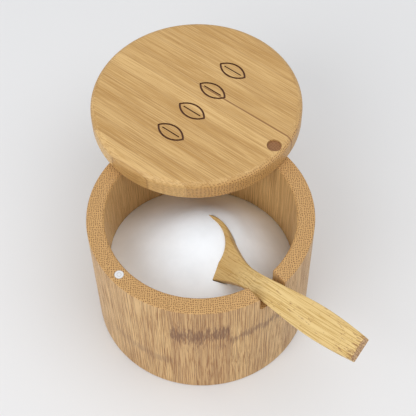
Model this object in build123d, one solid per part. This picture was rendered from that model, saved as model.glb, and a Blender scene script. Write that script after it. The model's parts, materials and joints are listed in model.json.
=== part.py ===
from build123d import *
import math
import os

# Bamboo salt cellar with a swivel lid, a magnet catch and a spoon in its rim notch.
# The frame stands on the centre of the base, with +Z up. +Y points from the
# magnet to the lid's pivot, and +X points towards the notch. Lengths are in mm.

# Jar wall
OUTER_RADIUS = 44.45
WALL = 7.05
WALL_HEIGHT = 60.95
RIM_INNER_ROUND = 1.0
RIM_OUTER_ROUND = 0.5
FOOT_ROUND = 0.8

# Glued block that the wall is turned from: upright staves, seams on parallel planes.
# The outer two seams lie just inside the bore, the others share out what is between.
BLOCK_TURN = 49.65
LEFT_SEAM_INSET = 1.8
RIGHT_SEAM_INSET = 4.9
MIDDLE_STAVES = 3

# Base disc, glued into a rebate
BASE_THICKNESS = 6.0
REBATE_WIDTH = 3.2
REBATE_GAP = 0.05

# Lid, a little smaller than the jar, glued from strips on parallel planes
LID_SETBACK = 1.05
LID_THICKNESS = 8.6
LID_GAP = 0.3
LID_TOP_ROUND = 2.7
LID_EDGE_ROUND = 0.5
LID_OPEN_ANGLE = 80.0
LEFT_STRIP = 5.65
RIGHT_STRIP = 7.11
MIDDLE_STRIPS = 12

# Pivot pin and its plug
PIVOT_INSET = 5.25
PIN_DIAMETER = 2.4
PIN_DEPTH = 22.0
PIN_PLAY = 0.05
HEAD_DIAMETER = 5.0
HEAD_THICKNESS = 1.2
COUNTERBORE_DIAMETER = 5.9
PLUG_THICKNESS = 2.4
PLUG_RECESS = 0.8
PLUG_GAP = 0.05
HEAD_GAP = 0.3

# Magnets
MAGNET_INSET = 3.55
MAGNET_DIAMETER = 3.6
MAGNET_THICKNESS = 3.0
MAGNET_GAP = 0.02

# Notch in the rim
NOTCH_ANGLE = -4.35
NOTCH_WIDTH = 12.0
NOTCH_DEPTH = 7.95
NOTCH_CORNER = 1.5
NOTCH_LIP = 0.6

# Ornament cut into the lid: a row of leaf outlines with a midrib
LEAF_COUNT = 4
LEAF_PITCH = 13.6
LEAF_LENGTH = 13.4
LEAF_WIDTH = 7.4
LEAF_STROKE = 0.8
RIB_WIDTH = 0.55
RIB_LENGTH = 8.6
ROW_Y = 2.5
ROW_X = -0.75
CUT_DEPTH = 0.4

# Spoon, in its own frame: u runs out along the handle from the notch's inner
# edge, t runs across, v stands square to the handle's top. It lies rolled on to
# one lower edge, with its bowl in the salt.
SPOON_TILT = 13.5
SPOON_ROLL = 25.0
SPOON_SKEW = 8.3
SPOON_ROCK = 10.0
SPOON_SEAT = 0.3
SEAT_SIDE = 3.75
SEAT_ACROSS = -3.4
HANDLE_REACH = 48.8
HANDLE_END_HALF = 4.8
HANDLE_END_SPLAY = 0.12
HANDLE_HALF = 6.1
HANDLE_TAPER = 21.8
SHOULDER_HALF = 4.7
SHOULDER_AT = 9.0
NECK_HALF = 4.0
NECK_AT = -4.0
THROAT_HALF = 4.6
THROAT_AT = -12.0
FLARE_HALF = 7.1
FLARE_AT = -20.0
BOWL_JOIN_AT = -28.0
HANDLE_TOP = 2.8
HANDLE_THICKNESS = 4.8
STEP_TOP_AT = 3.0
STEP_FOOT_AT = -15.5
STEP_ROUND = 25.0
SEAT_FLAT = 9.0
THROAT_BOTTOM = -6.3
BOWL_RADIUS = 14.0
BOWL_CENTRE = -36.0
BOWL_RIM = -3.4
HOLLOW_DEPTH = 6.0
HOLLOW_HALF = 12.6
HOLLOW_NECK_REACH = 12.5
HOLLOW_TIP_REACH = 12.7
KEEL_THICKNESS = 1.8
TIP_THICKNESS = 1.3
EDGE_ROUND = 0.5

# Salt, heaped on the spoon's bowl and falling towards the wall
SALT_PEAK_X = 0.3
SALT_PEAK_Y = 5.0
SALT_PEAK_DEPTH = 11.95
SALT_SLOPE = 33.0
SALT_LEAN = 11.3
SALT_LEAN_TURN = 102.8
SALT_CROWN = 27.0
SALT_GAP = 0.1
POCKET_GAP = 0.5
POCKET_SKIRT = 1.0
POCKET_STEPS = 2

INNER_RADIUS = OUTER_RADIUS - WALL
LID_RADIUS = OUTER_RADIUS - LID_SETBACK
PIVOT_RADIUS = OUTER_RADIUS - PIVOT_INSET
MAGNET_RADIUS = OUTER_RADIUS - MAGNET_INSET
NOTCH_FLOOR = WALL_HEIGHT - NOTCH_DEPTH
LID_BOTTOM = WALL_HEIGHT + LID_GAP
LID_TOP = LID_BOTTOM + LID_THICKNESS
PLUG_TOP = LID_TOP - PLUG_RECESS
PLUG_BOTTOM = PLUG_TOP - PLUG_THICKNESS
HEAD_TOP = PLUG_BOTTOM - HEAD_GAP
HEAD_BOTTOM = HEAD_TOP - HEAD_THICKNESS
COUNTERBORE_FLOOR = HEAD_BOTTOM - HEAD_GAP
HANDLE_HALF_AT = HANDLE_REACH - HANDLE_TAPER
BOWL_TIP = BOWL_CENTRE - BOWL_RADIUS
SALT_PEAK_Z = WALL_HEIGHT - SALT_PEAK_DEPTH
BIG = 4 * OUTER_RADIUS

os.makedirs("parts", exist_ok=True)


def save(name, shape):
    """Write one piece to its own STEP file."""
    shape.label = name
    export_step(shape, f"parts/{name}.step")


def column(radius, bottom, top, x=0.0, y=0.0):
    """Upright cylinder between two heights."""
    return Pos(x, y, (bottom + top) / 2) * Cylinder(radius, top - bottom)


def slab(low, high, turn):
    """Endless upright slab between two parallel planes, turned about Z."""
    return Rot(0, 0, turn) * Pos((low + high) / 2, 0, 0) * Box(high - low, BIG, BIG)


# Jar

def ring_edges(shape, top):
    """Circular edges of a turned piece at its top or bottom, smallest first."""
    level = shape.edges().filter_by(GeomType.CIRCLE).group_by(Axis.Z)[-1 if top else 0]
    return level.sort_by(SortBy.RADIUS)


def notch_cutter():
    """Profile of the notch, run outwards through the wall."""
    half = NOTCH_WIDTH / 2
    top = WALL_HEIGHT + LID_GAP
    lip_foot = WALL_HEIGHT - NOTCH_LIP
    lip_head = half + NOTCH_LIP + LID_GAP
    right = [(half, NOTCH_FLOOR), (half, lip_foot), (lip_head, top)]
    left = [(-x, z) for x, z in reversed(right)]
    profile = make_face(Plane.YZ * Polyline(*right, *left, close=True))
    cutter = extrude(profile, OUTER_RADIUS + WALL, dir=(1, 0, 0))
    floor_edges = cutter.edges().filter_by(Axis.X).group_by(Axis.Z)[0]
    return Rot(0, 0, NOTCH_ANGLE) * fillet(floor_edges, NOTCH_CORNER)


def jar_wall():
    """Whole turned wall, before it is parted at its glue seams."""
    wall = column(OUTER_RADIUS, 0, WALL_HEIGHT) - column(INNER_RADIUS, -1, WALL_HEIGHT + 1)
    wall = fillet(ring_edges(wall, top=True)[0], RIM_INNER_ROUND)
    wall = fillet(ring_edges(wall, top=True)[-1], RIM_OUTER_ROUND)
    wall = fillet(ring_edges(wall, top=False)[-1], FOOT_ROUND)
    wall -= column(INNER_RADIUS + REBATE_WIDTH, -1, BASE_THICKNESS)
    wall -= notch_cutter()
    pin_radius = PIN_DIAMETER / 2
    wall -= column(pin_radius, WALL_HEIGHT - PIN_DEPTH, BIG, y=PIVOT_RADIUS)
    seat = WALL_HEIGHT - MAGNET_THICKNESS
    wall -= column(MAGNET_DIAMETER / 2 + MAGNET_GAP, seat, BIG, y=-MAGNET_RADIUS)
    return wall


def wall_seams():
    """Glue planes of the block, from left to right."""
    left = LEFT_SEAM_INSET - INNER_RADIUS
    right = INNER_RADIUS - RIGHT_SEAM_INSET
    width = (right - left) / MIDDLE_STAVES
    return [left + i * width for i in range(MIDDLE_STAVES + 1)]


def save_staves(wall):
    """Part the wall at its seams. A slab that crosses the bore gives two staves."""
    edges = [-OUTER_RADIUS - 1] + wall_seams() + [OUTER_RADIUS + 1]
    names = ["stave_left", "left", "middle", "right", "stave_right"]
    for low, high, name in zip(edges, edges[1:], names):
        plank = wall & slab(low, high, BLOCK_TURN)
        solids = plank.solids()
        if len(solids) == 1:
            save(name, solids[0])
            continue
        across = Vector(-math.sin(math.radians(BLOCK_TURN)), math.cos(math.radians(BLOCK_TURN)), 0)
        front, rear = sorted(solids, key=lambda s: s.center().dot(across))
        save(f"stave_front_{name}", front)
        save(f"stave_rear_{name}", rear)


def save_base():
    disc = column(INNER_RADIUS + REBATE_WIDTH - REBATE_GAP, 0, BASE_THICKNESS)
    save("base_disc", disc)


# Lid, made closed and then swung open about its pivot

def swing_open(shape):
    pivot = Pos(0, PIVOT_RADIUS, 0)
    return pivot * Rot(0, 0, -LID_OPEN_ANGLE) * Pos(0, -PIVOT_RADIUS, 0) * shape


def leaf_face(inset):
    """Leaf between two arcs, pointed at both ends along Y, and shrunk by an inset."""
    half = LEAF_WIDTH / 2
    radius = ((LEAF_LENGTH / 2) ** 2 + half**2) / LEAF_WIDTH
    side = half - inset
    reach = math.sqrt((radius - inset) ** 2 - (radius - half) ** 2)
    right = ThreePointArc((0, -reach), (side, 0), (0, reach))
    left = ThreePointArc((0, reach), (-side, 0), (0, -reach))
    return make_face(right + left)


def ornament():
    """Cutter for the row of leaves, CUT_DEPTH into the lid's top."""
    band = leaf_face(0) - leaf_face(LEAF_STROKE)
    motif = band + Rectangle(RIB_WIDTH, RIB_LENGTH)
    bottom = LID_TOP - CUT_DEPTH
    cutter = extrude(motif, CUT_DEPTH + 1)
    first = ROW_X - LEAF_PITCH * (LEAF_COUNT - 1) / 2
    return [Pos(first + i * LEAF_PITCH, ROW_Y, bottom) * cutter for i in range(LEAF_COUNT)]


def lid_board():
    """Whole lid, before it is parted into its strips."""
    board = column(LID_RADIUS, LID_BOTTOM, LID_TOP)
    board = fillet(ring_edges(board, top=True)[-1], LID_TOP_ROUND)
    board = fillet(ring_edges(board, top=False)[-1], LID_EDGE_ROUND)
    board -= column(PIN_DIAMETER / 2 + PIN_PLAY, 0, BIG, y=PIVOT_RADIUS)
    board -= column(COUNTERBORE_DIAMETER / 2, COUNTERBORE_FLOOR, BIG, y=PIVOT_RADIUS)
    ceiling = LID_BOTTOM + MAGNET_THICKNESS
    board -= column(MAGNET_DIAMETER / 2 + MAGNET_GAP, 0, ceiling, y=-MAGNET_RADIUS)
    for leaf in ornament():
        board -= leaf
    return board


def lid_seams():
    """Glue planes of the lid, from left to right as it lies shut."""
    left = LEFT_STRIP - LID_RADIUS
    right = LID_RADIUS - RIGHT_STRIP
    width = (right - left) / MIDDLE_STRIPS
    return [left + i * width for i in range(MIDDLE_STRIPS + 1)]


def save_lid():
    board = lid_board()
    edges = [-LID_RADIUS - 1] + lid_seams() + [LID_RADIUS + 1]
    for number, (low, high) in enumerate(zip(edges, edges[1:]), start=1):
        strip = board & slab(low, high, 0)
        save(f"lid_strip_{number:02d}", swing_open(strip))
    plug_radius = COUNTERBORE_DIAMETER / 2 - PLUG_GAP
    plug = column(plug_radius, PLUG_BOTTOM, PLUG_TOP, y=PIVOT_RADIUS)
    save("pivot_plug", swing_open(plug))
    top = LID_BOTTOM + MAGNET_THICKNESS
    magnet = column(MAGNET_DIAMETER / 2, LID_BOTTOM, top, y=-MAGNET_RADIUS)
    save("lid_magnet", swing_open(magnet))


def save_jar_metal():
    shank = column(PIN_DIAMETER / 2, WALL_HEIGHT - PIN_DEPTH, HEAD_TOP, y=PIVOT_RADIUS)
    head = column(HEAD_DIAMETER / 2, HEAD_BOTTOM, HEAD_TOP, y=PIVOT_RADIUS)
    save("pivot_pin", shank + head)
    seat = WALL_HEIGHT - MAGNET_THICKNESS
    save("rim_magnet", column(MAGNET_DIAMETER / 2, seat, WALL_HEIGHT, y=-MAGNET_RADIUS))


# Spoon

def keel_curve(centre, top, end, end_top):
    """Arc that lies level over the keel and falls to its end."""
    run = end - centre
    drop = top - end_top
    radius = (run * run + drop * drop) / (2 * drop)
    middle = run / 2
    sag = radius - math.sqrt(radius * radius - middle * middle)
    return ThreePointArc((centre, top), (centre + middle, top - sag), (end, end_top))


def barrel(neck_end, neck_radius, keel_radius, tip_end, tip_radius, axis_height):
    """Body turned about an axis above the bowl, along the spoon."""
    to_neck = keel_curve(BOWL_CENTRE, keel_radius, neck_end, neck_radius)
    to_tip = keel_curve(BOWL_CENTRE, keel_radius, tip_end, tip_radius)
    under = Polyline((neck_end, neck_radius), (neck_end, 0), (tip_end, 0), (tip_end, tip_radius))
    profile = make_face(to_neck + to_tip + under)
    return Pos(0, 0, axis_height) * revolve(profile, Axis.X, 360)


def hollow_radius():
    return (HOLLOW_HALF**2 + HOLLOW_DEPTH**2) / (2 * HOLLOW_DEPTH)


def bowl_axis():
    return BOWL_RIM + hollow_radius() - HOLLOW_DEPTH


def bowl_hollow():
    """What the carver takes out of the bowl."""
    level = hollow_radius() - HOLLOW_DEPTH
    neck_end = BOWL_CENTRE + HOLLOW_NECK_REACH
    tip_end = BOWL_CENTRE - HOLLOW_TIP_REACH
    return barrel(neck_end, level, hollow_radius(), tip_end, level, bowl_axis())


def bowl_hull(grow):
    """Round underside of the bowl and throat, grown all over by a clearance."""
    axis = bowl_axis()
    neck_radius = axis - THROAT_BOTTOM + grow
    keel_radius = hollow_radius() + KEEL_THICKNESS + grow
    tip_radius = axis - BOWL_RIM + TIP_THICKNESS + grow
    return barrel(THROAT_AT, neck_radius, keel_radius, BOWL_TIP - grow, tip_radius, axis)


def plan_outline(grow):
    """Spoon seen from above, grown by a clearance."""
    join_half = math.sqrt(BOWL_RADIUS**2 - (BOWL_JOIN_AT - BOWL_CENTRE) ** 2)
    stations = [
        (HANDLE_REACH + grow, HANDLE_END_HALF + grow),
        (HANDLE_HALF_AT, HANDLE_HALF + grow),
        (SHOULDER_AT, SHOULDER_HALF + grow),
        (NECK_AT, NECK_HALF + grow),
        (THROAT_AT, THROAT_HALF + grow),
        (FLARE_AT, FLARE_HALF + grow),
        (BOWL_JOIN_AT, join_half + grow),
    ]
    mirrored = [(u, -t) for u, t in stations]
    slope = (BOWL_JOIN_AT - BOWL_CENTRE) / join_half
    right = Spline(*stations, tangents=[(-1, HANDLE_END_SPLAY), (-1, slope)])
    left = Spline(*mirrored, tangents=[(-1, -HANDLE_END_SPLAY), (-1, -slope)])
    bowl = ThreePointArc(stations[-1], (BOWL_TIP - grow, 0), mirrored[-1])
    end = Line(stations[0], mirrored[0])
    return make_face(right + bowl + left + end)


def side_outline(grow):
    """Spoon seen from the side. The bowl's underside is left deep for the hull."""
    deep = -2 * BOWL_RADIUS
    end_bottom = HANDLE_TOP - HANDLE_THICKNESS - grow
    top = [
        (HANDLE_REACH + grow, HANDLE_TOP),
        (STEP_TOP_AT, HANDLE_TOP),
        (STEP_FOOT_AT, BOWL_RIM),
        (BOWL_TIP - grow, BOWL_RIM),
    ]
    bottom = [
        (BOWL_TIP - grow, deep),
        (THROAT_AT, deep),
        (THROAT_AT, THROAT_BOTTOM - grow),
        (0, -grow),
        (SEAT_FLAT, -grow),
        (HANDLE_REACH + grow, end_bottom),
    ]
    curve = FilletPolyline(*top, radius=STEP_ROUND)
    under = Polyline(top[-1], *bottom, top[0])
    return make_face(Plane.XZ * (curve + under))


def beyond(station):
    """All the room on the handle's side of a station along the spoon."""
    return Pos(station + BIG / 2, 0, 0) * Box(BIG, BIG, BIG)


def handle_edges(spoon):
    """Long edges of the handle and neck, and the two across the handle's end."""
    edges = []
    for edge in spoon.edges():
        box = edge.bounding_box()
        lengthwise = box.size.X > NECK_HALF and abs(edge.center().Y) > NECK_HALF / 2
        along = lengthwise and box.min.X > FLARE_AT - EDGE_ROUND
        if along or box.min.X > HANDLE_REACH - EDGE_ROUND:
            edges.append(edge)
    return edges


def spoon_body():
    wide = 4 * BOWL_RADIUS
    plan = Pos(0, 0, -wide / 2) * extrude(plan_outline(0), wide)
    side = extrude(side_outline(0), wide / 2, both=True)
    blank = plan & side
    handle = blank & beyond(THROAT_AT)
    bowl = (blank - beyond(THROAT_AT)) & bowl_hull(0)
    spoon = handle + (bowl - bowl_hollow())
    return fillet(handle_edges(spoon), EDGE_ROUND)


def place_spoon(shape, rock=0):
    """From the spoon's frame to its seat on the notch's inner edge, rocked up or at rest."""
    edge = Pos(INNER_RADIUS, SEAT_ACROSS, NOTCH_FLOOR + SPOON_SEAT)
    lie = Rot(0, 0, SPOON_SKEW) * Rot(0, rock - SPOON_TILT, 0) * Rot(SPOON_ROLL, 0, 0)
    return Rot(0, 0, NOTCH_ANGLE) * edge * lie * Pos(0, SEAT_SIDE, 0) * shape


# Salt

def salt_mound():
    """Salt heaped high beside the spoon and falling away at its angle of rest."""
    slope = math.radians(SALT_SLOPE)
    edge_x = SALT_CROWN * math.sin(slope)
    edge_z = -SALT_CROWN * (1 - math.cos(slope))
    half = slope / 2
    mid = (SALT_CROWN * math.sin(half), -SALT_CROWN * (1 - math.cos(half)))
    reach = BIG
    foot_z = edge_z - (reach - edge_x) * math.tan(slope)
    crown = ThreePointArc((0, 0), mid, (edge_x, edge_z))
    rest = Polyline((edge_x, edge_z), (reach, foot_z), (0, foot_z), (0, 0))
    cone = revolve(make_face(Plane.XZ * (crown + rest)), Axis.Z, 360)
    lean = Rot(0, 0, SALT_LEAN_TURN) * Rot(0, SALT_LEAN, 0)
    leaning = Pos(SALT_PEAK_X, SALT_PEAK_Y, SALT_PEAK_Z) * lean * cone
    return leaning & column(INNER_RADIUS - SALT_GAP, BASE_THICKNESS, WALL_HEIGHT)


def risen(level, grow):
    """Room over the spoon's outline, up along the way that the bowl rises."""
    roll = math.radians(SPOON_ROLL)
    way = (0, math.sin(roll), math.cos(roll))
    return extrude(Pos(0, 0, level) * plan_outline(grow), BIG, dir=way)


def spoon_pocket():
    """Room in the salt for the spoon and its load at rest."""
    wide = 4 * BOWL_RADIUS
    plan = Pos(0, 0, -wide / 2) * extrude(plan_outline(POCKET_GAP), wide)
    side = extrude(side_outline(POCKET_GAP), wide / 2, both=True)
    pocket = plan & side & (bowl_hull(POCKET_GAP) + beyond(THROAT_AT))
    pocket += risen(BOWL_RIM, POCKET_GAP)
    pocket += risen(BOWL_RIM - POCKET_SKIRT, POCKET_GAP)
    return place_spoon(pocket)


def spoon_load():
    """Salt in the bowl and over its rim."""
    over = risen(BOWL_RIM, 0) - beyond(STEP_FOOT_AT)
    below = bowl_hollow() & Pos(0, 0, BOWL_RIM - BIG / 2) * Box(BIG, BIG, BIG)
    return place_spoon(over + below)


def save_spoon_and_salt():
    spoon = place_spoon(spoon_body())
    save("spoon", spoon)
    mound = salt_mound()
    bed = mound - spoon_pocket()
    for step in range(1, POCKET_STEPS + 1):
        rock = SPOON_ROCK * step / POCKET_STEPS
        bed -= place_spoon(risen(BOWL_RIM, POCKET_GAP), rock)
    bed = bed.solids().sort_by(SortBy.VOLUME)[-1]
    save("salt_bed", bed)
    load = ((mound & spoon_load()) - spoon).solids().sort_by(SortBy.VOLUME)[-1]
    save("salt_load", load)


save_staves(jar_wall())
save_base()
save_jar_metal()
save_lid()
save_spoon_and_salt()
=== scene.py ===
# %% [markdown]
# # A bamboo salt cellar
# A small round jar turned from a block of upright bamboo staves, with a flat lid
# that swings on a pin, a magnet in the rim, and a spoon lying in a notch. The solid
# pieces come from the imported frame, in metres, and this file gives them their wood,
# metal and salt. It starts by loading the frame.

import json
import math

import bmesh
import bpy
from mathutils import Matrix, Vector
from mathutils.bvhtree import BVHTree
from mathutils.kdtree import KDTree


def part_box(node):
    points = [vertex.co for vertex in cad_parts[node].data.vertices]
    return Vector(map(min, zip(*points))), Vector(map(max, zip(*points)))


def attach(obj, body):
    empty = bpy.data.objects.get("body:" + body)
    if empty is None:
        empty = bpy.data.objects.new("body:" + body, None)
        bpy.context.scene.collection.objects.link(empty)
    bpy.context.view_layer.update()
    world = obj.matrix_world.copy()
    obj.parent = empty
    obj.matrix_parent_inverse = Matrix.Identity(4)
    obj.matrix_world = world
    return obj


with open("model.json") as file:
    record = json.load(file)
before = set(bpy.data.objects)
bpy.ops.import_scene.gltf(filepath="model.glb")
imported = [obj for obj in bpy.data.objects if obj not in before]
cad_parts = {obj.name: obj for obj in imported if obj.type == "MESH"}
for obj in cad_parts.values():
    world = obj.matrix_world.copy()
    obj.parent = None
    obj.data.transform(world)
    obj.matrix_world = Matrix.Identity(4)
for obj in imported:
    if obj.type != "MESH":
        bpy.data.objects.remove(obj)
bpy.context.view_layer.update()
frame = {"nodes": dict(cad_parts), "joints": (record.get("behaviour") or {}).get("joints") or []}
nodes = frame["nodes"]
MM = 0.001
print("pieces in the frame:", len(nodes))

# %% [markdown]
# Everything that the looks need to know about the construction is read from the
# frame: where the lid turns, how high the rim is, and where the spoon rocks. The
# wood grain is laid along these directions, so the numbers are worked out once here.

# %% Read the construction from the frame
joints = {joint["name"]: joint for joint in frame["joints"]}
pivot = Vector(joints["lid_swivel"]["pos_m"])
lid_turn = math.radians(joints["lid_swivel"]["range_deg"][1])
rock = Vector(joints["spoon_rock"]["pos_m"])
rock_axis = Vector(joints["spoon_rock"]["axis"])
spoon_turn = math.atan2(-rock_axis.x, rock_axis.y)
SPOON_TILT = math.radians(13.5)
SPOON_ROLL = math.radians(25)
rim_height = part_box("stave_left")[1].z
lid_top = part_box("lid_strip_07")[1].z
print("rim at", round(rim_height / MM, 2), "mm, lid top at", round(lid_top / MM, 2), "mm")

# %% [markdown]
# The camera stands above the front right of the jar and looks down at about 56
# degrees. It was found by fitting a pinhole camera to the ellipses of the rim, the
# base and the lid. Blender's camera looks along its own -Z, so its axes are built
# from the viewing direction and put in the columns of its matrix.

# %% Camera
CAMERA_BEARING = math.radians(49.65)
CAMERA_DISTANCE = 0.2356
CAMERA_HEIGHT = 0.408
CAMERA_PITCH = math.radians(55.553)
CAMERA_YAW = math.radians(0.713)
CAMERA_ROLL = math.radians(-1.168)
CAMERA_LENS = 93.54


def look_axes():
    """Right, up and back of the camera, before it is turned to its bearing."""
    forward = Vector((
        math.sin(CAMERA_YAW) * math.cos(CAMERA_PITCH),
        math.cos(CAMERA_YAW) * math.cos(CAMERA_PITCH),
        -math.sin(CAMERA_PITCH),
    ))
    level = Vector((math.cos(CAMERA_YAW), -math.sin(CAMERA_YAW), 0))
    upright = level.cross(forward)
    right = level * math.cos(CAMERA_ROLL) + upright * math.sin(CAMERA_ROLL)
    up = upright * math.cos(CAMERA_ROLL) - level * math.sin(CAMERA_ROLL)
    return right, up, -forward


def make_camera():
    """The scene's camera, turned with everything else to the bearing of the photo."""
    data = bpy.data.cameras.new("camera")
    data.lens = CAMERA_LENS
    data.sensor_width = 36
    data.clip_start = 0.01
    camera = bpy.data.objects.new("camera", data)
    bpy.context.scene.collection.objects.link(camera)
    axes = Matrix(look_axes()).transposed().to_4x4()
    stand = Matrix.Translation((0, -CAMERA_DISTANCE, CAMERA_HEIGHT))
    camera.matrix_world = Matrix.Rotation(CAMERA_BEARING, 4, "Z") @ stand @ axes
    bpy.context.scene.camera = camera
    return camera


camera = make_camera()
print("camera at", [round(v, 3) for v in camera.matrix_world.translation])

# %% [markdown]
# A material is a graph of nodes. These few helpers keep the graphs short: one adds
# a node and sets its inputs, one does arithmetic, one maps a value to a range, and
# one blends two colours. An input that is given a socket is linked, and any other
# value is set on the node itself.

# %% Helpers for node graphs
def feed(tree, socket, value):
    """Link a socket to an input, or set the input to a plain value."""
    if isinstance(value, bpy.types.NodeSocket):
        tree.links.new(value, socket)
    else:
        socket.default_value = value


def add(tree, kind, settings=None, **inputs):
    """A node with its settings and inputs filled in."""
    node = tree.nodes.new(kind)
    for name, value in (settings or {}).items():
        setattr(node, name, value)
    for name, value in inputs.items():
        feed(tree, node.inputs[name.replace("_", " ")], value)
    return node


def sums(tree, operation, *values):
    """The result of one step of arithmetic."""
    node = tree.nodes.new("ShaderNodeMath")
    node.operation = operation
    for socket, value in zip(node.inputs, values):
        feed(tree, socket, value)
    return node.outputs[0]


def ranged(tree, value, low, high, to_low=0.0, to_high=1.0):
    """A smooth step from low to high."""
    node = tree.nodes.new("ShaderNodeMapRange")
    node.interpolation_type = "SMOOTHSTEP"
    for name, number in zip(("Value", "From Min", "From Max", "To Min", "To Max"),
                            (value, low, high, to_low, to_high)):
        feed(tree, node.inputs[name], number)
    return node.outputs[0]


def blend(tree, share, first, second):
    """The first colour, turning into the second as the share goes from 0 to 1."""
    node = tree.nodes.new("ShaderNodeMix")
    node.data_type = "RGBA"
    feed(tree, node.inputs["Factor"], share)
    feed(tree, node.inputs["A"], first)
    feed(tree, node.inputs["B"], second)
    return node.outputs["Result"]


def noise(tree, vector, scale, detail=2.0, roughness=0.5):
    return add(tree, "ShaderNodeTexNoise", Vector=vector, Scale=scale, Detail=detail,
               Roughness=roughness).outputs["Fac"]


def length(tree, vector):
    node = add(tree, "ShaderNodeVectorMath", {"operation": "LENGTH"}, Vector=vector)
    return node.outputs["Value"]


def srgb(red, green, blue):
    """A screen colour, 0 to 255, as the linear colour that a shader takes."""
    return tuple((c / 255 / 12.92 if c <= 10 else ((c / 255 + 0.055) / 1.055) ** 2.4)
                 for c in (red, green, blue)) + (1.0,)


def new_material(name):
    """A material with its graph and its main shader."""
    material = bpy.data.materials.new(name)
    material.use_nodes = True
    tree = material.node_tree
    shader = tree.nodes["Principled BSDF"]
    return material, tree, shader


# %% [markdown]
# Bamboo is a bundle of long straight fibres. Cut along them it shows fine streaks,
# and cut across them it shows dots. A solid pattern gives both for nothing: cells
# that are a millimetre wide and many centimetres long are streaks on a long cut and
# dots on an end cut. So the point is first turned until its Z runs along the fibres,
# and then squeezed along Z. The same wood then fits the rim, the wall and the round
# edge of the lid without any seams of its own.

# %% Coordinates along the grain
def grain_point(tree, origin, turn):
    """The point in millimetres, seen from a frame whose Z runs along the fibres."""
    point = add(tree, "ShaderNodeTexCoord").outputs["Object"]
    inverse = (Matrix.Translation(origin) @ turn.to_4x4()).inverted()
    place = tree.nodes.new("ShaderNodeMapping")
    place.vector_type = "POINT"
    place.inputs["Location"].default_value = inverse.translation / MM
    place.inputs["Rotation"].default_value = inverse.to_euler("XYZ")
    place.inputs["Scale"].default_value = (1 / MM,) * 3
    tree.links.new(point, place.inputs["Vector"])
    return place.outputs["Vector"]


def parts_of(tree, vector):
    split = add(tree, "ShaderNodeSeparateXYZ", Vector=vector)
    return split.outputs["X"], split.outputs["Y"], split.outputs["Z"]


def joined(tree, x, y, z):
    return add(tree, "ShaderNodeCombineXYZ", X=x, Y=y, Z=z).outputs["Vector"]


# %% [markdown]
# Each strip or stave is a stick of its own, from its own cane. A white noise of the
# stick's number gives it a tone, and moves the pattern inside it, so that the fibres
# break at every glue line as they do in the real board.

# %% Tell the sticks apart
SHIFT_SEED = 3.0
TONE_SEED = 11.0
SEAM_HALF = 0.14


def in_sticks(tree, along, first_seam, width):
    """The place across the sticks, counted in sticks from the first seam."""
    return sums(tree, "DIVIDE", sums(tree, "SUBTRACT", along, first_seam), width)


def chance(tree, number, seed):
    """A steady random value from 0 to 1 for each whole number."""
    return add(tree, "ShaderNodeTexWhiteNoise", {"noise_dimensions": "1D"},
               W=sums(tree, "ADD", number, seed)).outputs["Value"]


def glue_line(tree, along, first_seam, width, half):
    """1 on the seam between two sticks, falling to 0 at half its width away."""
    place = in_sticks(tree, along, first_seam, width)
    off = sums(tree, "ABSOLUTE", sums(tree, "SUBTRACT", place, sums(tree, "ROUND", place)))
    return ranged(tree, sums(tree, "MULTIPLY", off, width), half, 0.0)


# %% [markdown]
# The fibres themselves are in layers. Bundles are the dark dots of the end grain, and
# a Voronoi pattern gives them, because its cells have the even, packed spacing of
# real bundles. Between them lie dark and light lines, which are stretched noise, and
# under it all the tone drifts slowly, because a cane isn't one colour. Everything is
# bent a little by one slow noise, so that no fibre is ruler-straight. The lines can be
# flattened across X: then they run on as lines where a surface dips into the wood, as
# on the neck of the spoon.

# %% Fibres
BUNDLE_PITCH = 0.95
EVENNESS = 0.35
STICK_SHIFT = 40.0
BEND_ACROSS = 1.2
BEND_ALONG = -1.8
STRETCH = 0.015


def fibre_layers(tree, x, y, z, shift, pitch, fine, flat):
    """Bundles, dark lines, light lines and slow drift, each from 0 to 1."""
    inside = sums(tree, "MULTIPLY_ADD", shift, STICK_SHIFT, y)
    bends = noise(tree, joined(tree, x, inside, sums(tree, "MULTIPLY", z, 0.08)), 0.25, 1.0)
    across = sums(tree, "MULTIPLY_ADD", bends, BEND_ACROSS, x)
    moved = sums(tree, "MULTIPLY_ADD", bends, BEND_ALONG, inside)
    dots = add(tree, "ShaderNodeTexVoronoi", {"voronoi_dimensions": "2D"},
               Vector=joined(tree, across, moved, 0.0), Scale=1 / pitch, Randomness=EVENNESS)
    bundle = ranged(tree, dots.outputs["Distance"], 0.35, 0.18)
    flattened = sums(tree, "MULTIPLY", across, flat)
    slow = joined(tree, flattened, moved, sums(tree, "MULTIPLY", z, STRETCH))
    lines = noise(tree, slow, fine, 2.0, 0.6)
    dark = ranged(tree, lines, 0.52, 0.57)
    light = ranged(tree, lines, 0.46, 0.41)
    drift = noise(tree, joined(tree, x, moved, sums(tree, "MULTIPLY", z, 0.12)), 0.16, 2.0)
    return bundle, dark, light, ranged(tree, drift, 0.35, 0.65)


# %% [markdown]
# How a face is cut decides what it shows. The share of end cut is how squarely the
# surface faces along the fibres: 1 on the rim, 0 on the sides, and in between on the
# rounded ends of the lid. The bundles are strong dots on an end cut and only soft
# threads on a long cut.

# %% How squarely a face cuts the fibres
def end_cut(tree, fibre, low, high):
    """0 where the face lies along the fibres, 1 where it cuts them squarely."""
    facing = add(tree, "ShaderNodeTexCoord").outputs["Normal"]
    along = tree.nodes.new("ShaderNodeVectorMath")
    along.operation = "DOT_PRODUCT"
    tree.links.new(facing, along.inputs[0])
    along.inputs[1].default_value = fibre
    return ranged(tree, sums(tree, "ABSOLUTE", along.outputs["Value"]), low, high)


# %% [markdown]
# One function makes every kind of bamboo on this object. It takes the direction of
# the fibres, the colours of pale wood, deep wood, bundles and cut ends, and where the
# glue lines lie. The shares say how strongly each layer shows. A callback may paint
# something more over it, such as the brown of a burnt groove or the band where a cane
# had a joint.

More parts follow.
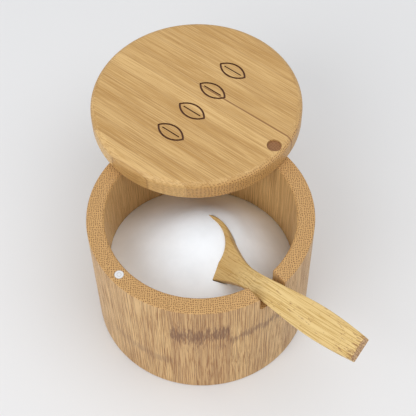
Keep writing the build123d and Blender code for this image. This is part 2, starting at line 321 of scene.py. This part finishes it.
# %% Bamboo material
def bamboo(name, origin, turn, colours, seam=-100.0, stick=300.0, tone_spread=0.6,
           drift_share=0.5, dark_share=0.6, light_share=0.5, spot_share=0.3, dot_share=0.7,
           seam_share=0.35, pitch=BUNDLE_PITCH, fine=3.3, cut_range=(0.42, 0.8), flat=1.0,
           extra=None):
    """Solid bamboo. Z of the turned frame runs along the fibres, X across the sticks."""
    pale, deep, spot, cut = (srgb(*colour) for colour in colours)
    material, tree, shader = new_material(name)
    x, y, z = parts_of(tree, grain_point(tree, origin, turn))
    number = sums(tree, "FLOOR", in_sticks(tree, x, seam, stick))
    shift = chance(tree, number, SHIFT_SEED)
    bundle, dark, light, drift = fibre_layers(tree, x, y, z, shift, pitch, fine, flat)
    ends = end_cut(tree, turn @ Vector((0, 0, 1)), *cut_range)
    tone = sums(tree, "MULTIPLY", drift, drift_share)
    tone = sums(tree, "MULTIPLY_ADD", chance(tree, number, TONE_SEED), tone_spread, tone)
    wood = blend(tree, tone, pale, deep)
    wood = blend(tree, sums(tree, "MULTIPLY", dark, dark_share), wood, deep)
    wood = blend(tree, sums(tree, "MULTIPLY", light, light_share), wood, pale)
    wood = blend(tree, sums(tree, "MULTIPLY", ends, 0.8), wood, cut)
    strength = sums(tree, "MULTIPLY_ADD", ends, dot_share - spot_share, spot_share)
    wood = blend(tree, sums(tree, "MULTIPLY", bundle, strength), wood, spot)
    if seam_share:
        glue = glue_line(tree, x, seam, stick, SEAM_HALF)
        wood = blend(tree, sums(tree, "MULTIPLY", glue, seam_share), wood, spot)
    if extra:
        wood = extra(tree, (x, y, z), wood, spot)
    relief = sums(tree, "SUBTRACT", light, sums(tree, "ADD", dark, bundle))
    bump = add(tree, "ShaderNodeBump", Strength=0.3, Distance=0.04 * MM, Height=relief)
    feed(tree, shader.inputs["Base Color"], wood)
    feed(tree, shader.inputs["Roughness"], ranged(tree, dark, 0.0, 1.0, 0.42, 0.56))
    shader.inputs["Specular IOR Level"].default_value = 0.4
    feed(tree, shader.inputs["Normal"], bump.outputs["Normal"])
    return material


def dress(names, material):
    """Give the named pieces of the frame one material."""
    for name in names:
        piece = nodes[name]
        piece.data.materials.clear()
        piece.data.materials.append(material)


# %% [markdown]
# The lid was drawn shut and swung open, so its grain is turned back with it: in the
# lid's own frame the strips run along Y and lie side by side along X. The leaves are
# burnt into the board, so the walls of the groove are dark brown and its floor, where
# the cutter rubbed less, is a lighter brown. The shader tells them by their depth. One
# glue line, beside the pivot, took up more glue than the others and shows dark on the
# half of the board that holds the pivot.

# %% Wood of the lid
LID_COLOURS = ((220, 183, 124), (181, 139, 80), (124, 80, 42), (204, 161, 102))
LID_SEAM = -6.9
LID_STRIP = 6.17
BURNT_WALL = srgb(50, 24, 10)
BURNT_FLOOR = srgb(90, 50, 26)
GROOVE_DEPTH = 0.4
GROOVE_REACH = 33.0
lid_frame = Matrix.Rotation(-lid_turn, 3, "Z")
lid_origin = Vector((pivot.x, pivot.y, 0))
along_y = Matrix.Rotation(math.radians(-90), 3, "X")


def dark_seam(tree, point, wood, spot):
    """The glue line at the first seam, strong from the middle of the lid to the pivot."""
    beside = sums(tree, "ABSOLUTE", sums(tree, "SUBTRACT", point[0], LID_SEAM))
    line = ranged(tree, beside, 0.55, 0.1, 0.0, 0.75)
    past_middle = sums(tree, "ADD", point[2], lid_origin.y / MM)
    half = ranged(tree, past_middle, -8.0, 2.0, 0.1, 1.0)
    return blend(tree, sums(tree, "MULTIPLY", line, half), wood, spot)


def lid_marks(tree, point, wood, spot):
    """Brown in the grooves. Y of the grain frame points down through the board."""
    wood = dark_seam(tree, point, wood, spot)
    depth = sums(tree, "ADD", point[1], lid_top / MM)
    below = ranged(tree, depth, 0.02, 0.1)
    floor = ranged(tree, depth, GROOVE_DEPTH - 0.06, GROOVE_DEPTH - 0.01)
    shallow = sums(tree, "LESS_THAN", depth, GROOVE_DEPTH + 0.05)
    past_middle = sums(tree, "ADD", point[2], lid_origin.y / MM)
    reach = length(tree, joined(tree, point[0], past_middle, 0.0))
    inside = sums(tree, "MULTIPLY", shallow, sums(tree, "LESS_THAN", reach, GROOVE_REACH))
    burnt = blend(tree, floor, BURNT_WALL, BURNT_FLOOR)
    return blend(tree, sums(tree, "MULTIPLY", below, inside), wood, burnt)


lid_wood = bamboo("bamboo_lid", lid_origin, lid_frame @ along_y, LID_COLOURS, seam=LID_SEAM,
                  stick=LID_STRIP, tone_spread=0.7, drift_share=0.25, spot_share=0.2,
                  dot_share=0.85, extra=lid_marks)
strips = sorted(name for name in nodes if name.startswith("lid_strip"))
dress(strips, lid_wood)
print("lid strips:", len(strips))

# %% [markdown]
# The jar is turned from a block of upright staves, so the rim is all end grain and
# the sides are all streaks. Bamboo has a joint every hand's width or so, where the
# fibres tangle, and three of the staves that face the camera show one: a band of short
# dark dashes, thick in the middle and thinning out above and below. They are the peaks
# of a noise, and the closer the band, the lower the peak that shows. The fronts of the
# middle and right staves are also darkened and reddened, partly their own tone and
# partly painted shade where they get less light than the left stave. The bore is given
# a brighter, more golden tone than the outside.

# %% Wood of the wall
WALL_COLOURS = ((226, 188, 130), (154, 108, 62), (104, 64, 32), (201, 158, 101))
STAVE_SEAM = -12.9
STAVE_WIDTH = 22.7
# Left seam, right seam, height, reach and strength of each band, and the share of a darker,
# redder tone over its stave's front, partly the stave's own tone and partly painted shade.
BANDS = (
    (-12.9, 9.8, 43.5, 18.0, 0.75, 0.22),
    (9.8, 32.5, 39.0, 9.0, 0.6, 0.1),
    (-35.6, -12.9, 20.0, 10.0, 0.35, 0.0),
)
# Darker, redder tone for the stave fronts: partly the wood's own tone, partly painted shade.
STAVE_TONE_AND_SHADE = srgb(140, 88, 56)
BAND_DASH = srgb(108, 70, 48)
BORE_RADIUS = 37.45
BORE_GOLD = srgb(246, 204, 134)
OUTSIDE_RADIUS = 41.0
block_frame = Matrix.Rotation(CAMERA_BEARING, 3, "Z")


def on_front(tree, point, radius):
    """1 on the outside that faces the camera, below the rim."""
    front = sums(tree, "LESS_THAN", point[1], 0.0)
    outside = sums(tree, "GREATER_THAN", radius, OUTSIDE_RADIUS)
    below = sums(tree, "LESS_THAN", point[2], rim_height / MM - 0.2)
    return sums(tree, "MULTIPLY", sums(tree, "MULTIPLY", front, outside), below)


def cane_joint(tree, x, level, dashes, front, wood, band):
    """One ragged band across one stave, between its two seams, over a darker tone on the whole
    stave front that is partly painted shade.
    """
    left, right, height, reach, strength, tone_and_shade = band
    past_left = sums(tree, "MULTIPLY", front, sums(tree, "GREATER_THAN", x, left))
    stave = sums(tree, "MULTIPLY", past_left, sums(tree, "LESS_THAN", x, right))
    away = sums(tree, "ABSOLUTE", sums(tree, "SUBTRACT", level, height))
    wide = ranged(tree, away, reach, 0.0, 0.0, 0.12)
    near = sums(tree, "ADD", wide, ranged(tree, away, 0.45 * reach, 0.0, 0.0, 0.14))
    share = ranged(tree, sums(tree, "ADD", dashes, near), 0.58, 0.78)
    share = sums(tree, "MULTIPLY", share, ranged(tree, away, reach, 0.7 * reach, 0.0, strength))
    # Painted shade, partly the stave's own tone: the whole front of the stave is darkened.
    wood = blend(tree, sums(tree, "MULTIPLY", stave, tone_and_shade), wood, STAVE_TONE_AND_SHADE)
    return blend(tree, sums(tree, "MULTIPLY", share, stave), wood, BAND_DASH)


def wall_marks(tree, point, wood, spot):
    """Cane joints and partly painted shade outside, and golden wood in the bore."""
    x, y, z = point
    radius = length(tree, joined(tree, x, y, 0.0))
    front = on_front(tree, point, radius)
    dashes = noise(tree, joined(tree, x, y, sums(tree, "MULTIPLY", z, 0.1)), 2.2, 3.0, 0.7)
    sway = noise(tree, joined(tree, x, y, 0.0), 0.12, 1.0)
    level = sums(tree, "MULTIPLY_ADD", sway, 8.0, sums(tree, "SUBTRACT", z, 4.0))
    for band in BANDS:
        wood = cane_joint(tree, x, level, dashes, front, wood, band)
    bore = ranged(tree, radius, BORE_RADIUS + 0.05, BORE_RADIUS - 0.05, 0.0, 0.3)
    return blend(tree, bore, wood, BORE_GOLD)


wall_wood = bamboo("bamboo_wall", Vector((0, 0, 0)), block_frame, WALL_COLOURS, seam=STAVE_SEAM,
                   stick=STAVE_WIDTH, tone_spread=0.4, drift_share=0.25, dark_share=0.85,
                   light_share=0.6, spot_share=0.4, dot_share=0.9, pitch=0.8, fine=4.0,
                   extra=wall_marks)
staves = sorted(name for name in nodes if name.startswith("stave"))
dress(staves + ["base_disc"], wall_wood)
print("staves:", len(staves), "cane joints:", len(BANDS))

# %% [markdown]
# The spoon is one piece of bamboo, paler and more yellow. Its fibres run along the
# handle, which rises from the notch and is rolled on to one edge, so its grain frame
# takes the same turns that laid the spoon down. Near the end of the handle the rounding
# cuts the bundles at a slant, which leaves short reddish dashes, and towards the bowl the
# wood is darkened as painted shade, where the neck dips away from the light. The plug is
# the same kind of wood stood on end, painted darker as the shade of the hole it sits in.

# %% Wood of the spoon and the plug
SPOON_COLOURS = ((228, 199, 138), (184, 146, 76), (128, 76, 40), (204, 166, 120))
# The plug's colours are painted darker, as the shade of the hole it sits in.
SHADED_PLUG_COLOURS = ((156, 112, 72), (124, 82, 48), (84, 50, 28), (146, 102, 64))
# Painted shade for the bowl, where the neck dips away from the light.
BOWL_SHADE = srgb(172, 132, 72)
HANDLE_END = 53.0
DASHED_LENGTH = 16.0
lie = (Matrix.Rotation(spoon_turn, 3, "Z") @ Matrix.Rotation(-SPOON_TILT, 3, "Y")
       @ Matrix.Rotation(SPOON_ROLL, 3, "X"))
spoon_frame = lie @ Matrix.Rotation(math.radians(90), 3, "Y")


def spoon_marks(tree, point, wood, spot):
    """Dashes near the end of the handle, and painted shade towards the bowl."""
    x, y, z = point
    dashes = noise(tree, joined(tree, x, y, sums(tree, "MULTIPLY", z, 0.25)), 1.6, 2.0, 0.6)
    near = ranged(tree, z, HANDLE_END - DASHED_LENGTH, HANDLE_END, 0.0, 0.16)
    share = ranged(tree, sums(tree, "ADD", dashes, near), 0.6, 0.72, 0.0, 0.6)
    wood = blend(tree, share, wood, spot)
    # Painted shade: the wood grows darker towards the bowl.
    return blend(tree, ranged(tree, z, -4.0, -20.0, 0.0, 0.45), wood, BOWL_SHADE)


spoon_wood = bamboo("bamboo_spoon", rock, spoon_frame, SPOON_COLOURS, tone_spread=0.2,
                    drift_share=0.25, dark_share=0.75, spot_share=0.1, dot_share=0.95,
                    seam_share=0, cut_range=(0.85, 0.95), flat=0.1, extra=spoon_marks)
dress(["spoon"], spoon_wood)
# The plug is painted darker, as shade in its hole.
shaded_plug_wood = bamboo("bamboo_plug", lid_origin, Matrix.Identity(3), SHADED_PLUG_COLOURS, seam_share=0,
                   dot_share=0.4)
dress(["pivot_plug"], shaded_plug_wood)
print("handle ends", HANDLE_END, "mm from where the spoon rocks")

# %% [markdown]
# The magnets are pressed discs with a nickel skin, bright and a little scratched. The
# rim magnet shows a faint ring where the press held it, so the shader darkens a thin
# circle round its middle, and paints shade on the edge of each disc, where it meets the
# wood. The pin is plain steel.

# %% Metal
NICKEL = srgb(246, 246, 246)
STEEL = srgb(200, 200, 202)
RING = srgb(170, 170, 172)
SHADED_EDGE = srgb(120, 116, 112)
RING_RADIUS = 0.8 * MM
DISC_RADIUS = 1.8 * MM


def press_ring_and_edge_shade(tree, point, centre, wear_and_edge_shade):
    """A thin ring round the middle, and painted shade on the edge against the wood."""
    x, y, _ = parts_of(tree, point)
    beside = sums(tree, "SUBTRACT", x, centre.x)
    reach = length(tree, joined(tree, beside, sums(tree, "SUBTRACT", y, centre.y), 0.0))
    ring = sums(tree, "ABSOLUTE", sums(tree, "SUBTRACT", reach, RING_RADIUS))
    wear_and_edge_shade = blend(tree, ranged(tree, ring, 0.18 * MM, 0.06 * MM, 0.0, 0.5), wear_and_edge_shade, RING)
    # Painted shade on the edge of the disc, where it meets the wood.
    edge = ranged(tree, reach, DISC_RADIUS - 0.2 * MM, DISC_RADIUS, 0.0, 0.7)
    return blend(tree, edge, wear_and_edge_shade, SHADED_EDGE)


def metal(name, colour, roughness, centre=None):
    """Bright metal with a fine grain, and a press ring and painted edge shade if it has a
    centre.
    """
    material, tree, shader = new_material(name)
    shader.inputs["Metallic"].default_value = 0.55
    point = add(tree, "ShaderNodeTexCoord").outputs["Object"]
    grain = noise(tree, point, 4000.0, 2.0)
    wear_and_edge_shade = blend(tree, grain, colour, tuple(0.9 * c for c in colour[:3]) + (1,))
    if centre:
        wear_and_edge_shade = press_ring_and_edge_shade(tree, point, centre, wear_and_edge_shade)
    polish = ranged(tree, grain, 0.3, 0.7, roughness - 0.05, roughness + 0.05)
    feed(tree, shader.inputs["Base Color"], wear_and_edge_shade)
    feed(tree, shader.inputs["Roughness"], polish)
    return material


def middle(name):
    low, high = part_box(name)
    return (low + high) / 2


for magnet in ("rim_magnet", "lid_magnet"):
    dress([magnet], metal("nickel_" + magnet, NICKEL, 0.35, middle(magnet)))
dress(["pivot_pin"], metal("steel", STEEL, 0.3))
print("rim magnet at", [round(v / MM, 1) for v in middle("rim_magnet")], "mm")

# %% [markdown]
# Salt is a heap of fine crystals, too small to see one by one from here. What shows is
# a soft white surface with shallow hollows and a fine grain, so those are bumps of two
# sizes. The colour hardly changes: a touch of painted shade follows the larger bumps, and
# a faint cool tint is painted against the warm light that the wood throws on the salt.

# %% Salt
CRYSTALS_PER_METRE = 2800.0
HEAPS_PER_METRE = 90.0


def salt(name):
    """White grains over shallow hollows, with painted shade on the larger bumps and a painted
    cool tint.
    """
    material, tree, shader = new_material(name)
    point = add(tree, "ShaderNodeTexCoord").outputs["Object"]
    grain = add(tree, "ShaderNodeTexVoronoi", Vector=point, Scale=CRYSTALS_PER_METRE)
    heaps = noise(tree, point, HEAPS_PER_METRE, 3.0)
    height = sums(tree, "ADD", grain.outputs["Distance"], sums(tree, "MULTIPLY", heaps, 5.0))
    bump = add(tree, "ShaderNodeBump", Strength=0.5, Distance=0.1 * MM, Height=height)
    relief_shade = ranged(tree, heaps, 0.35, 0.7)
    # Painted shade on the larger bumps, over a faint cool tint painted against the warm light
    # from the wood.
    colour = blend(tree, relief_shade, srgb(243, 248, 254), srgb(237, 242, 248))
    feed(tree, shader.inputs["Base Color"], colour)
    shader.inputs["Roughness"].default_value = 0.8
    feed(tree, shader.inputs["Normal"], bump.outputs["Normal"])
    return material


salt_white = salt("salt")
dress(["salt_bed", "salt_load"], salt_white)

# %% [markdown]
# The salt on the spoon is a solid of its own, so that it can rise with the bowl, and
# half a millimetre of room parts it from the bed. Real salt rolls into such a seam and
# hides it. A thin fringe does the same here: it starts on the salt of the spoon, lies
# over the seam, and rises with the spoon. Its line is read from the upper edge of the
# solid, wherever the bed is close.

# %% Find the upper edge of the salt on the spoon
def upper_edge(name):
    """Corners, slopes and links along the edge of a solid's upper surface."""
    shape = bmesh.new()
    shape.from_mesh(nodes[name].data)
    bmesh.ops.remove_doubles(shape, verts=shape.verts, dist=1e-6)
    top = {face for face in shape.faces if face.normal.z > 0.5}
    slopes, links = {}, {}
    for edge in shape.edges:
        faces = [face for face in edge.link_faces if face in top]
        if len(faces) != 1:
            continue
        for vert in edge.verts:
            slopes[vert.index] = faces[0].normal.copy()
            links.setdefault(vert.index, []).append(edge.other_vert(vert).index)
    places = {vert.index: vert.co.copy() for vert in shape.verts}
    shape.free()
    return places, slopes, links


def longest_chain(links):
    """The longest run of corners that follow one another."""
    left, chains = set(links), []
    while left:
        chain = [left.pop()]
        while ahead := [n for n in links[chain[-1]] if n in left]:
            chain.append(ahead[0])
            left.discard(ahead[0])
        chains.append(chain)
    return max(chains, key=len)


places, slopes, links = upper_edge("salt_load")
edge_line = longest_chain(links)
print("corners round the salt on the spoon:", len(edge_line))

# %% [markdown]
# Only the stretch of the edge that has the bed beside it needs a fringe. It is taken as
# an open line, cut into even steps, and smoothed a little, since the corners of a
# solid's mesh lie anyhow along it.

# %% Line of the seam
SEAM_LIMIT = 1.6 * MM
STEP = 0.4 * MM
SMOOTHINGS = 4


def bed_tree():
    mesh = nodes["salt_bed"].data
    corners = [vert.co.copy() for vert in mesh.vertices]
    return BVHTree.FromPolygons(corners, [list(face.vertices) for face in mesh.polygons])


def even_line(points, step):
    """Points at even steps along an open line, smoothed a little."""
    line = [points[0]]
    for point in points[1:]:
        while (point - line[-1]).length > step:
            line.append(line[-1] + (point - line[-1]).normalized() * step)
    for _ in range(SMOOTHINGS):
        inner = [(a + 2 * b + c) / 4 for a, b, c in zip(line, line[1:], line[2:])]
        line = [line[0]] + inner + [line[-1]]
    return line


def seam_line(bed):
    """The stretch of the edge that has the bed beside it, as an open line."""
    close = [bed.find_nearest(places[key])[3] < SEAM_LIMIT for key in edge_line]
    start = next(i for i in range(len(close)) if close[i] and not close[i - 1])
    stretch = []
    for step in range(len(close)):
        index = (start + step) % len(close)
        if not close[index]:
            break
        stretch.append(places[edge_line[index]])
    return even_line(stretch, STEP)


bed = bed_tree()
seam = seam_line(bed)
print("points along the seam:", len(seam))

# %% [markdown]
# At each point the fringe gets a small closed section, as thin as a few grains. It
# begins inside the salt of the spoon, lies flat over the edge, and ends just past the
# seam, close above the bed. The sections are then bridged into one skin, which rides on
# the spoon and is the same salt.

# %% Fringe over the seam in the salt
# Outward and upward places of the section's corners. Outward counts in shares of the
# seam's width where it is above 0, and all else is in millimetres.
FRINGE = ((-0.5, 0.015), (1.0, 0.035), (1.0, 0.02), (-0.5, -0.1))
OVERLAP = 0.35 * MM


def edge_tree():
    tree = KDTree(len(edge_line))
    for key in edge_line:
        tree.insert(places[key], key)
    tree.balance()
    return tree


def fringe_sections():
    """The corners of the fringe's section at each point of the seam."""
    centre = sum(places.values(), Vector()) / len(places)
    nearest = edge_tree()
    sections = []
    for before, here, after in zip(seam, seam[1:], seam[2:]):
        slope = slopes[nearest.find(here)[1]]
        out = (after - before).cross(slope).normalized()
        if out.dot(here - centre) < 0:
            out = -out
        reach = bed.find_nearest(here)[3] + OVERLAP
        sections.append([here + out * (away * (reach if away > 0 else MM)) + slope * (up * MM)
                         for away, up in FRINGE])
    return sections


def bridged(sections):
    """One closed skin through all the sections."""
    shape = bmesh.new()
    rings = [[shape.verts.new(corner) for corner in section] for section in sections]
    for first, second in zip(rings, rings[1:]):
        for k in range(len(FRINGE)):
            n = (k + 1) % len(FRINGE)
            shape.faces.new((first[k], first[n], second[n], second[k]))
    shape.faces.new(rings[0])
    shape.faces.new(reversed(rings[-1]))
    bmesh.ops.recalc_face_normals(shape, faces=shape.faces)
    return shape


def place_mesh(name, shape, material):
    """An object at the origin that holds the shape in one material."""
    mesh = bpy.data.meshes.new(name)
    shape.to_mesh(mesh)
    shape.free()
    mesh.materials.append(material)
    piece = bpy.data.objects.new(name, mesh)
    bpy.context.scene.collection.objects.link(piece)
    return piece


fringe = place_mesh("salt_fringe", bridged(fringe_sections()), salt_white)
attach(fringe, "spoon")
print("faces of the fringe:", len(fringe.data.polygons))

# %% [markdown]
# The cellar stands on a plain pale floor in soft light: a bright sky all round, which
# fills the shadows, one large lamp straight above, which keeps the salt and the lid
# bright, and a second one in front on the left, which gives the wall its round shape.

# %% Floor, lights and world
FLOOR_SIZE = 3.0
FLOOR_COLOUR = srgb(229, 230, 232)
SKY_STRENGTH = 0.7
LIGHT_TARGET = Vector((0, 0, 0.03))
# Name, place as the camera sees it, size and power.
LAMPS = (
    ("key", (0.3, -0.2, 0.95), 0.8, 2.4),
    ("fill", (-0.6, -0.72, 0.78), 0.9, 5.0),
)


def make_floor():
    material, _, shader = new_material("pale_floor")
    shader.inputs["Base Color"].default_value = FLOOR_COLOUR
    shader.inputs["Roughness"].default_value = 0.6
    shape = bmesh.new()
    bmesh.ops.create_grid(shape, x_segments=1, y_segments=1, size=FLOOR_SIZE / 2)
    floor = place_mesh("floor", shape, material)


def make_lamp(name, place, size, power):
    data = bpy.data.lights.new(name, "AREA")
    data.shape = "DISK"
    data.size = size
    data.energy = power
    lamp = bpy.data.objects.new(name, data)
    bpy.context.scene.collection.objects.link(lamp)
    lamp.location = Matrix.Rotation(CAMERA_BEARING, 3, "Z") @ Vector(place)
    lamp.rotation_euler = (LIGHT_TARGET - lamp.location).to_track_quat("-Z", "Y").to_euler()


def make_sky():
    world = bpy.data.worlds.new("world")
    bpy.context.scene.world = world
    world.use_nodes = True
    background = world.node_tree.nodes["Background"]
    background.inputs["Color"].default_value = (1, 1, 1, 1)
    background.inputs["Strength"].default_value = SKY_STRENGTH


make_floor()
for lamp in LAMPS:
    make_lamp(*lamp)
make_sky()
bpy.context.scene.view_settings.view_transform = "Standard"
print("lamps:", len(LAMPS))
